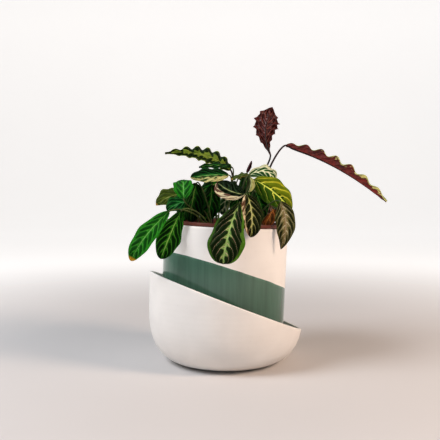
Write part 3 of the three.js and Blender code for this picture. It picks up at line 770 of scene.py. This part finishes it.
def arc(radius, height, size, start, end, steps):
    """A round stretch of a section about (radius, height), from one angle to another in degrees."""
    angles = [math.radians(start + (end - start) * step / steps) for step in range(steps + 1)]
    return [(radius + size * math.cos(a), height + size * math.sin(a)) for a in angles]


def join_into(piece, *others):
    """Joins other objects into a piece, whose own place stays in its mesh."""
    select_only(*others, piece)
    bpy.ops.object.join()


def fit_to_frame(piece, node, *materials):
    """Gives a finished piece its materials, hides the node of model.glb that it stands for, and says that it
    rides on the root.
    """
    for material in materials:
        piece.data.materials.append(material)
    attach(piece, "root")
    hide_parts(node)


# The bowl


def belly(height, floor, foot, widest, power):
    """The radius of a rounded wall at a height."""
    share = min(max((height - floor) / (BOWL_WIDEST - floor), 0), 1)
    radius = foot + (widest - foot) * (1 - (1 - share) ** power) ** (1 / power)
    return radius - max(height - BOWL_WIDEST, 0) * BOWL_TAPER


def bowl_outer(height):
    return belly(height, 0, BOWL_FOOT_RADIUS, BOWL_RADIUS, BOWL_BELLY_POWER)


def bowl_inner(height):
    return belly(height, BOWL_FLOOR, BOWL_INNER_FOOT_RADIUS, BOWL_INNER_RADIUS, BOWL_INNER_POWER)


def rim_height(angle, wall):
    """Where the slanted rim meets a wall in that direction, found in a few rounds."""
    height = BOWL_RIM["height"]
    for _ in range(6):
        fall = BOWL_RIM["fall_right"] * math.cos(angle) + BOWL_RIM["fall_back"] * math.sin(angle)
        height = BOWL_RIM["height"] - wall(height) * fall
    return height


def bowl_section(angle):
    """The wall in one direction, from the foot's middle up the outside and over the lip to the inside."""
    outer_top = rim_height(angle, bowl_outer) - BOWL_LIP_ROUND
    inner_top = rim_height(angle, bowl_inner) - BOWL_LIP_ROUND
    section = [(0, 0), (BOWL_FOOT_RADIUS - BOWL_FOOT_EDGE, 0)]
    for step in range(BOWL_OUTER_STEPS + 1):
        height = outer_top * (1 - math.cos(step / BOWL_OUTER_STEPS * math.pi / 2))
        section.append((bowl_outer(height), height))
    for step in range(1, BOWL_LIP_STEPS):
        turn = math.pi * step / BOWL_LIP_STEPS
        share = (1 - math.cos(turn)) / 2
        radius = bowl_outer(outer_top) * (1 - share) + bowl_inner(inner_top) * share
        height = outer_top * (1 - share) + inner_top * share + BOWL_LIP_ROUND * math.sin(turn)
        section.append((radius, height))
    for step in range(BOWL_INNER_STEPS + 1):
        share = 1 - math.sin(step / BOWL_INNER_STEPS * math.pi / 2)
        height = BOWL_FLOOR + (inner_top - BOWL_FLOOR) * share
        section.append((bowl_inner(height), height))
    return section + [(0, BOWL_FLOOR)]


def make_bowl(pots):
    sections = [bowl_section(2 * math.pi * column / ROUND) for column in range(ROUND)]
    rows = len(sections[0]) - 1
    inside_from = 2 + BOWL_OUTER_STEPS + BOWL_LIP_STEPS

    def place(across, along):
        column = round(across * ROUND) % ROUND
        radius, height = sections[column][round(along * rows)]
        return Vector((*around(radius, 2 * math.pi * column / ROUND), height))

    bowl = shaped_grid("slanted_bowl", ROUND, rows, place)
    add_shares(bowl, "inside", lambda across, along: (float(along * rows > inside_from), 0))
    tidy_faces(bowl)
    smooth(bowl)
    fit_to_frame(bowl, "bowl", unglazed_stoneware(pots))


# The inner pot, the nursery pot and the soil


def add_turned_pot(name, section, degrees, material, node):
    """A pot that leans, turned from its section."""
    pot = turned(name, section)
    lean(pot)
    smooth(pot, degrees)
    fit_to_frame(pot, node, material)


def make_inner_pot(pots):
    inside = POT_RADIUS - POT_WALL
    foot = arc(POT_RADIUS - POT_FOOT_ROUND, POT_FOOT_ROUND, POT_FOOT_ROUND, -90, 0, 12)
    lip = arc(POT_RADIUS - POT_WALL / 2, POT_HEIGHT - POT_WALL / 2, POT_WALL / 2, 0, 180, 10)
    bottom = arc(inside - POT_FOOT_ROUND, POT_FLOOR + POT_FOOT_ROUND, POT_FOOT_ROUND, 0, -90, 10)
    drain = [(POT_DRAIN_RADIUS, POT_FLOOR), (POT_DRAIN_RADIUS, 0)]
    section = [drain[1], *foot, *lip, *bottom, *drain]
    add_turned_pot("dipped_inner_pot", section, 40, dipped_stoneware(pots), "inner_pot")


def make_nursery_pot(pots):
    seat, edge = NURSERY_SEAT, NURSERY_EDGE
    floor = seat - NURSERY_DEPTH
    top = seat + NURSERY_LIP_HEIGHT - edge
    lip = NURSERY_LIP_RADIUS - edge
    inside = NURSERY_TOP_RADIUS - NURSERY_WALL
    section = [
        (NURSERY_DRAIN_RADIUS, floor), (NURSERY_FOOT_RADIUS, floor), (NURSERY_TOP_RADIUS, seat), (lip, seat),
        *arc(lip, seat + edge, edge, -45, 0, 2), *arc(lip, top, edge, 0, 90, 4),
        *arc(inside + NURSERY_STEP_OUT + edge, top, edge, 90, 180, 4), (inside, seat - NURSERY_STEP_DOWN),
        (NURSERY_FOOT_RADIUS - NURSERY_WALL, floor + NURSERY_WALL),
        (NURSERY_DRAIN_RADIUS, floor + NURSERY_WALL), (NURSERY_DRAIN_RADIUS, floor),
    ]
    add_turned_pot("terracotta_nursery_pot", section, 50, terracotta_plastic(pots), "nursery_pot")


def soil_height(x, y):
    """The lie of the soil: low mounds with crumbs on them."""
    mounds = 1.6 * (math.sin(x / 9 + 1) * math.cos(y / 11) + 0.6 * math.sin((x + y) / 5))
    return SOIL_TOP + mounds + 0.5 * math.sin(x * 1.7) * math.sin(y * 1.9)


def make_soil(pots):

    def place(across, along):
        ring = along * SOIL_RINGS
        if ring < 2:
            radius, drop = SOIL_RADIUS - SOIL_TAPER * (2 - ring), SOIL_DEPTH
        else:
            radius, drop = SOIL_RADIUS * (SOIL_RINGS - ring) / (SOIL_RINGS - 2), 0
        x, y = around(radius, 2 * math.pi * across)
        return Vector((x, y, soil_height(x, y) - drop))

    soil = shaped_grid("peat_soil", ROUND, SOIL_RINGS, place)
    lean(soil)
    tidy_faces(soil)
    join_into(soil, *scattered_crumbs())
    smooth(soil, 60)
    fit_to_frame(soil, "soil", potting_soil(pots))


def scattered_crumbs():
    """Crumbs of bark and peat on the soil: one lump is modelled, and copied to each place."""
    draw = random.Random(7)
    select_only()
    bpy.ops.mesh.primitive_ico_sphere_add(subdivisions=1, radius=MM)
    lump = bpy.context.object
    for point in lump.data.vertices:
        point.co *= draw.uniform(0.7, 1.2)
    crumbs = [lump]
    for _ in range(CRUMBS):
        crumb = lump.copy()
        crumb.data = lump.data.copy()
        bpy.context.collection.objects.link(crumb)
        crumbs.append(crumb)
    for crumb in crumbs:
        reach = CRUMB_REACH * math.sqrt(draw.random())
        x, y = around(reach, draw.uniform(0, 2 * math.pi))
        size = draw.uniform(*CRUMB_SIZES)
        crumb.scale = (size * draw.uniform(0.8, 2), size, size * draw.uniform(0.5, 1))
        crumb.rotation_euler = (draw.uniform(0, 1), draw.uniform(0, 1), draw.uniform(0, 6))
        crumb.location = Vector((x, y, soil_height(x, y))) * MM
    return crumbs


# The leaves


def by(across, up, back):
    return Vector((across, back, up))


def at(across, up, back):
    """The point that the eye sees at that place across and up, and that far back."""
    reach = 1 - back / EYE.y
    return Vector((EYE.x + (across - EYE.x) * reach, back, EYE.z + (up - EYE.z) * reach))


def soil_level(x):
    """Where the upright line at x meets the level of the soil, in the pot that leans."""
    middle = POT_FOOT_AT[0] + SOIL_TOP * math.sin(POT_LEAN)
    return POT_FOOT_AT[2] + SOIL_TOP * math.cos(POT_LEAN) - (x - middle) * math.tan(POT_LEAN)


def cubic(a, b, c, d, share):
    rest = 1 - share
    return a * rest ** 3 + b * (3 * rest ** 2 * share) + c * (3 * rest * share ** 2) + d * share ** 3


def arch(share):
    """A half wave: 0 at both ends, and 1 in the middle."""
    return math.sin(math.pi * min(max(share, 0), 1))


class Blade:
    """The shape of one blade, which its mesh, its rib and its stalk all follow."""

    def __init__(self, number, leaf):
        self.number = number
        self.leaf = leaf
        self.kind = KINDS[leaf.kind]
        self.waved = leaf.kind == "waved"
        self.base = at(*leaf.base)
        self.tip = at(*leaf.tip)
        self.faces = by(*leaf.faces)
        self.control = (self.base + self.tip) / 2 + 2 * by(*leaf.bow)
        self.vein_space = VEIN_SPACE if self.waved else LOOKS[leaf.look].space
        self.bend = math.log(0.5) / math.log(leaf.widest)
        self.length = ((self.tip - self.base).length + (self.control - self.base).length
                       + (self.tip - self.control).length) / 2

    def midrib(self, along):
        rest = 1 - along
        return self.base * rest ** 2 + self.control * (2 * rest * along) + self.tip * along ** 2

    def direction(self, along):
        return ((self.control - self.base) * (1 - along) + (self.tip - self.control) * along).normalized()

    def half_width(self, along):
        share = arch(min(max(along, 0), 1) ** self.bend)
        end = BLADE_END if along < 0.5 else TIP_END
        return end + (self.leaf.half - end) * share ** (self.leaf.fullness or self.kind.fullness)

    def upwards(self, along):
        """The direction out of the upper side at the midrib, and the one to its side."""
        forward = self.direction(along)
        side = forward.cross(self.faces).normalized()
        return side.cross(forward), side

    def point(self, along, across, relief):
        """A point of the skin, across from -1 to 1, quilted as deep as relief says."""
        half = self.half_width(along)
        face, side = self.upwards(along)
        fold = math.radians(self.leaf.fold)
        turn = 2 * math.pi * self.kind.waves * along
        ripple = self.kind.ripple * self.ripple(along, across)
        tooth = 1 + self.kind.teeth * across ** 2 * (math.cos(turn) + 0.35 * math.cos(2 * turn + 1))
        tooth += RIPPLE_WIDTH * ripple
        lift = ripple * across ** 2
        lift += half * abs(across) * math.sin(fold) - half * self.leaf.droop * across ** 2
        lift += self.swing(along, across) * math.sin(turn)
        lift += relief * self.kind.quilt * self.quilt(along, across)
        return self.midrib(along) + side * (half * across * tooth * math.cos(fold)) + face * lift

    def ripple(self, along, across):
        """The slow ripple of the edge, from -1 to 1, other on each side and on each blade."""
        start = 2.4 * self.number + (2 if across < 0 else 0)
        return math.sin(2 * math.pi * RIPPLES * along + start) * arch(along)

    def swing(self, along, across):
        """How far a waved blade swings up and down, and less where its calm side is."""
        share = CALM_SHARE if across * self.leaf.calm > 0 else 1
        return share * self.kind.swing * abs(across) ** 1.5 * arch(along) ** 0.5

    def vein_phase(self, along, across):
        """Which vein a point is on: a whole number on a vein, and a half midway to the next one."""
        sweep = VEIN_REACH * self.leaf.half * abs(across) ** VEIN_CURVE
        return (along * self.length - sweep) / self.vein_space + (VEIN_STAGGER if across < 0 else 0)

    def quilt(self, along, across):
        """The skin sinks at each side vein and at the midrib, and swells between them."""
        edge = abs(across)
        turn = 2 * math.pi * self.vein_phase(along, across)
        swell = math.cos(turn) * arch(edge + 0.1)
        return -swell - RIB_GROOVE * math.exp(-((edge * 12) ** 2))


def make_leaf(number, leaf, settings, skins):
    """A leaf with its blade, whose two sides have their own skins, and its stalk."""
    blade = Blade(number, leaf)

    def place(across, along):
        return blade.point(along, 2 * across - 1, settings.vein_relief / MM)

    def vein_share(across, along):
        return 2 * across - 1, blade.vein_phase(along, 2 * across - 1)

    piece = shaped_grid("finished_" + leaf.name, blade.kind.columns, blade.kind.rows, place)
    add_shares(piece, "veins", vein_share)
    if blade.waved:
        upper = made_once(skins, blotched_skin)
        under = made_once(skins, purple_underside, "flecked" if leaf.look == "flecked" else "plain")
    else:
        upper, under = (made_once(skins, skin, leaf.look) for skin in (upper_skin, under_skin))
    piece.data.materials.append(upper)
    piece.data.materials.append(under)
    select_only(piece)
    thickness = piece.modifiers.new("thickness", "SOLIDIFY")
    thickness.thickness = settings.blade_thickness
    thickness.offset = 0
    thickness.material_offset = 1
    thickness.material_offset_rim = 1 if leaf.look == "blotched" else 0
    bpy.ops.object.modifier_apply(modifier=thickness.name)
    join_into(piece, make_stalk(blade, settings, skins))
    smooth(piece, 60)
    if not leaf.beside:
        fit_to_frame(piece, leaf.name)
        return
    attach(piece, "root")


def stalk_line(blade, settings):
    """The points and radii of a stalk: from the soil to the blade, and on under the skin as the midrib."""
    radius = settings.stalk_radius / MM * blade.kind.stoutness
    groove = RIB_GROOVE * settings.vein_relief / MM * blade.kind.quilt
    x, y = blade.leaf.root
    level = soil_level(x)
    foot = Vector((x, y, level + STALK_FOOT))
    above = foot + Vector((0, 0, (foot - blade.base).length * STALK_RISE))
    before = blade.base - blade.direction(0) * STALK_TURN
    line = [(Vector((x, y, level - STALK_DEPTH)), radius * STALK_SHARES["in soil"]),
            (Vector((x, y, level)), radius * STALK_SHARES["at soil"])]
    for step in range(STALK_STEPS):
        share = step / STALK_STEPS
        thick = radius * (STALK_SHARES["above"] - STALK_SHARES["thins"] * share)
        line.append((cubic(foot, above, before, blade.base, share), thick))
    for step in range(RIB_STEPS + 1):
        along = step / RIB_STEPS * RIB_END
        thin = radius * (RIB_SHARES["more"] * (1 - along) + RIB_SHARES["tip"])
        face, _ = blade.upwards(along)
        sunk = face * ((thin * 0.75 + groove) * min(along * 12, 1))
        line.append((blade.midrib(along) - sunk, thin))
    return line


def make_stalk(blade, settings, skins):
    """A round stalk along its line: a path with a bevel, made a mesh."""
    select_only()
    bpy.ops.curve.primitive_nurbs_path_add()
    curve = bpy.context.object.data
    curve.splines.clear()
    line = stalk_line(blade, settings)
    spline = curve.splines.new("POLY")
    spline.points.add(len(line) - 1)
    for point, (spot, radius) in zip(spline.points, line):
        point.co = (*(spot * MM), 1)
        point.radius = radius
    curve.bevel_depth = MM
    curve.bevel_resolution = 2
    curve.use_fill_caps = True
    bpy.ops.object.convert(target="MESH")
    stalk = bpy.context.object
    purple = blade.waved or blade.leaf.look == "young_purple"
    stalk.data.materials.clear()
    stalk.data.materials.append(made_once(skins, stalk_skin, "maroon" if purple else "green"))
    return stalk


# The stage


def make_floor(stage):
    """A pale floor that curves up into a back wall, so that no edge shows behind the object."""
    select_only()
    bpy.ops.mesh.primitive_plane_add(size=stage.floor_size)
    floor = added("studio_floor")
    bpy.ops.object.mode_set(mode="EDIT")
    bpy.ops.mesh.select_all(action="DESELECT")
    bpy.ops.object.mode_set(mode="OBJECT")
    for edge in floor.data.edges:
        edge.select = all(floor.data.vertices[i].co.y > 0 for i in edge.vertices)
    bpy.ops.object.mode_set(mode="EDIT")
    bpy.ops.mesh.select_mode(type="EDGE")
    bpy.ops.mesh.extrude_region_move(TRANSFORM_OT_translate={"value": (0, 0, stage.wall_height)})
    bpy.ops.object.mode_set(mode="OBJECT")
    fold = floor.modifiers.new("curve of the wall", "BEVEL")
    fold.width = stage.wall_height * WALL_CURVE
    fold.segments = WALL_STEPS
    bpy.ops.object.modifier_apply(modifier=fold.name)
    smooth(floor, 60)
    floor.data.materials.append(matt_paper(stage))


def matt_paper(stage):
    """Pale backdrop paper: even and without shine, with the faintest fibre. Away from the object it glows, as
    if lit from behind."""
    material, tree = new_material("pale_backdrop_paper", 0.9, 0.1)
    clouds = ramp(grain(tree, 400), 0.3, 0.7)
    colour = laid_on(tree, stage.floor_colour, (clouds, shade(stage.floor_colour, 0.98)))
    away = add(tree, "VectorMath", add(tree, "TexCoord").outputs["Object"], operation="LENGTH")
    glow = add(tree, "MULTIPLY", ramp(away, stage.glow_from, stage.glow_to), stage.wall_glow)
    sockets = tree.nodes["Principled BSDF"].inputs
    feed(sockets["Emission Color"], "fffdfb")
    feed(sockets["Emission Strength"], glow)
    return finish(material, colour, grain(tree, 1.0), 0.02)


def make_light(name, power, place, size, colour):
    select_only()
    bpy.ops.object.light_add(type="AREA", location=place)
    light = added(name)
    light.rotation_euler = (LIT_POINT - Vector(place)).to_track_quat("-Z", "Y").to_euler()
    light.data.size = size
    light.data.energy = power
    light.data.color = linear(colour)[:3]


def make_camera():
    select_only()
    bpy.ops.object.camera_add(location=EYE * MM, rotation=(EYE_TILT, 0, 0))
    camera = added("viewpoint")
    camera.data.sensor_width = SENSOR
    camera.data.lens = FOCAL_PIXELS / FRAME_PIXELS * SENSOR
    bpy.context.scene.camera = camera


def light_room(stage):
    """Even light from all round that is brightest near the floor, a key light from the upper left and a warm
    one from the right."""
    world = bpy.data.worlds.new("studio_air")
    world.use_nodes = True
    bpy.context.scene.world = world
    tree = world.node_tree
    height = add(tree, "SeparateXYZ", add(tree, "TexCoord").outputs["Generated"]).outputs[2]
    top = stage.horizon_top
    strength = add(tree, "MapRange", height, top, top / 2, stage.air_strength, stage.horizon_strength)
    air = tree.nodes["Background"].inputs
    feed(air["Color"], "f8faff")
    feed(air["Strength"], strength)
    make_light("key_light", stage.key_power, **KEY_LIGHT)
    make_light("warm_light", stage.warm_power, **WARM_LIGHT)
    bpy.context.scene.view_settings.view_transform = "Standard"


# The settings that a user would change


def setting(name, description, default, **more):
    return bpy.props.FloatProperty(name=name, description=description, default=default, **more)


def small_size(name, description, size):
    return setting(name, description, size * MM, unit="LENGTH", precision=5)


def colour_setting(name, description, default):
    return bpy.props.FloatVectorProperty(
        name=name, description=description, default=linear(default), subtype="COLOR", size=4, min=0, max=1)


class PotSettings(bpy.types.PropertyGroup):
    clay: colour_setting("Clay", "Colour of the unglazed stoneware", "efebe6")
    glaze: colour_setting("Glaze", "Colour of the glaze where it is thick", "436654")
    terracotta: colour_setting("Nursery pot", "Colour of the nursery pot's plastic", "5e2c20")
    soil: colour_setting("Soil", "Colour of the damp soil", "1c120c")


class LeafSettings(bpy.types.PropertyGroup):
    blade_thickness: small_size("Blade thickness", "Thickness of every blade", 0.7)
    vein_relief: small_size("Vein relief", "How deep the skin is quilted by the veins", 0.65)
    stalk_radius: small_size("Stalk radius", "Radius of a stalk at half its height", 1.05)


class StageSettings(bpy.types.PropertyGroup):
    floor_size: setting("Floor", "Width of the floor", 10, unit="LENGTH")
    wall_height: setting("Wall", "Height of the back wall", 3.2, unit="LENGTH")
    floor_colour: colour_setting("Paper", "Colour of the backdrop paper", "cfcdcc")
    wall_glow: setting("Wall glow", "How strongly the wall is lit from behind", 0.68)
    glow_from: setting("Glow from", "Distance from the object where the glow starts", 0.25, unit="LENGTH")
    glow_to: setting("Glow to", "Distance from the object where the glow is full", 1.6, unit="LENGTH")
    air_strength: setting("Air", "Strength of the even light from all round", 0.16)
    horizon_strength: setting("Horizon", "Strength of the light from all round near the floor", 0.27)
    horizon_top: setting("Horizon top", "How high the bright band reaches, as the sine of its angle", 0.3)
    key_power: setting("Key light", "Power of the light from the upper left", 32, unit="POWER")
    warm_power: setting("Warm light", "Power of the warm light from the right", 25, unit="POWER")


# The operators, one for each piece or group of like pieces and one for the stage


class PLANT_OT_add_stage(bpy.types.Operator):
    """Adds the floor, the lights and the camera"""

    bl_idname = "plant.add_stage"
    bl_label = "Stage"

    def execute(self, context):
        stage = context.scene.prayer_plant_stage
        make_floor(stage)
        light_room(stage)
        make_camera()
        return {"FINISHED"}


class PLANT_OT_add_bowl(bpy.types.Operator):
    """Adds the bowl with the slanted rim"""

    bl_idname = "plant.add_bowl"
    bl_label = "Slanted bowl"

    def execute(self, context):
        make_bowl(context.scene.prayer_plant_pots)
        return {"FINISHED"}


class PLANT_OT_add_inner_pot(bpy.types.Operator):
    """Adds the glazed pot that leans in the bowl"""

    bl_idname = "plant.add_inner_pot"
    bl_label = "Dipped inner pot"

    def execute(self, context):
        make_inner_pot(context.scene.prayer_plant_pots)
        return {"FINISHED"}


class PLANT_OT_add_nursery_pot(bpy.types.Operator):
    """Adds the plastic nursery pot"""

    bl_idname = "plant.add_nursery_pot"
    bl_label = "Nursery pot"

    def execute(self, context):
        make_nursery_pot(context.scene.prayer_plant_pots)
        return {"FINISHED"}


class PLANT_OT_add_soil(bpy.types.Operator):
    """Adds the soil and its crumbs"""

    bl_idname = "plant.add_soil"
    bl_label = "Soil"

    def execute(self, context):
        make_soil(context.scene.prayer_plant_pots)
        return {"FINISHED"}


class PLANT_OT_add_leaves(bpy.types.Operator):
    """Adds every leaf with its stalk"""

    bl_idname = "plant.add_leaves"
    bl_label = "Leaves"

    def execute(self, context):
        skins = {}
        for number, leaf in enumerate(LEAVES + DRY_LEAVES):
            make_leaf(number, leaf, context.scene.prayer_plant_leaves, skins)
        return {"FINISHED"}


OPERATORS = (PLANT_OT_add_stage, PLANT_OT_add_bowl, PLANT_OT_add_inner_pot, PLANT_OT_add_nursery_pot,
             PLANT_OT_add_soil, PLANT_OT_add_leaves)


class VIEW3D_PT_prayer_plant(bpy.types.Panel):
    """Lists the settings and the pieces"""

    bl_label = "Prayer plant"
    bl_idname = "VIEW3D_PT_prayer_plant"
    bl_space_type = "VIEW_3D"
    bl_region_type = "UI"
    bl_category = "Prayer Plant"

    def draw(self, context):
        scene = context.scene
        for settings in (scene.prayer_plant_pots, scene.prayer_plant_leaves, scene.prayer_plant_stage):
            for name in settings.__annotations__:
                self.layout.prop(settings, name)
        for operator in OPERATORS:
            self.layout.operator(operator.bl_idname)


SETTINGS = {
    "prayer_plant_pots": PotSettings,
    "prayer_plant_leaves": LeafSettings,
    "prayer_plant_stage": StageSettings,
}
CLASSES = (*SETTINGS.values(), *OPERATORS, VIEW3D_PT_prayer_plant)


def register():
    for made in CLASSES:
        bpy.utils.register_class(made)
    for name, group in SETTINGS.items():
        setattr(bpy.types.Scene, name, bpy.props.PointerProperty(type=group))


def unregister():
    for name in SETTINGS:
        delattr(bpy.types.Scene, name)
    for made in reversed(CLASSES):
        bpy.utils.unregister_class(made)


def main():
    register()
    bpy.ops.plant.add_stage()
    bpy.ops.plant.add_bowl()
    bpy.ops.plant.add_inner_pot()
    bpy.ops.plant.add_nursery_pot()
    bpy.ops.plant.add_soil()
    bpy.ops.plant.add_leaves()


if __name__ == "__main__":
    main()
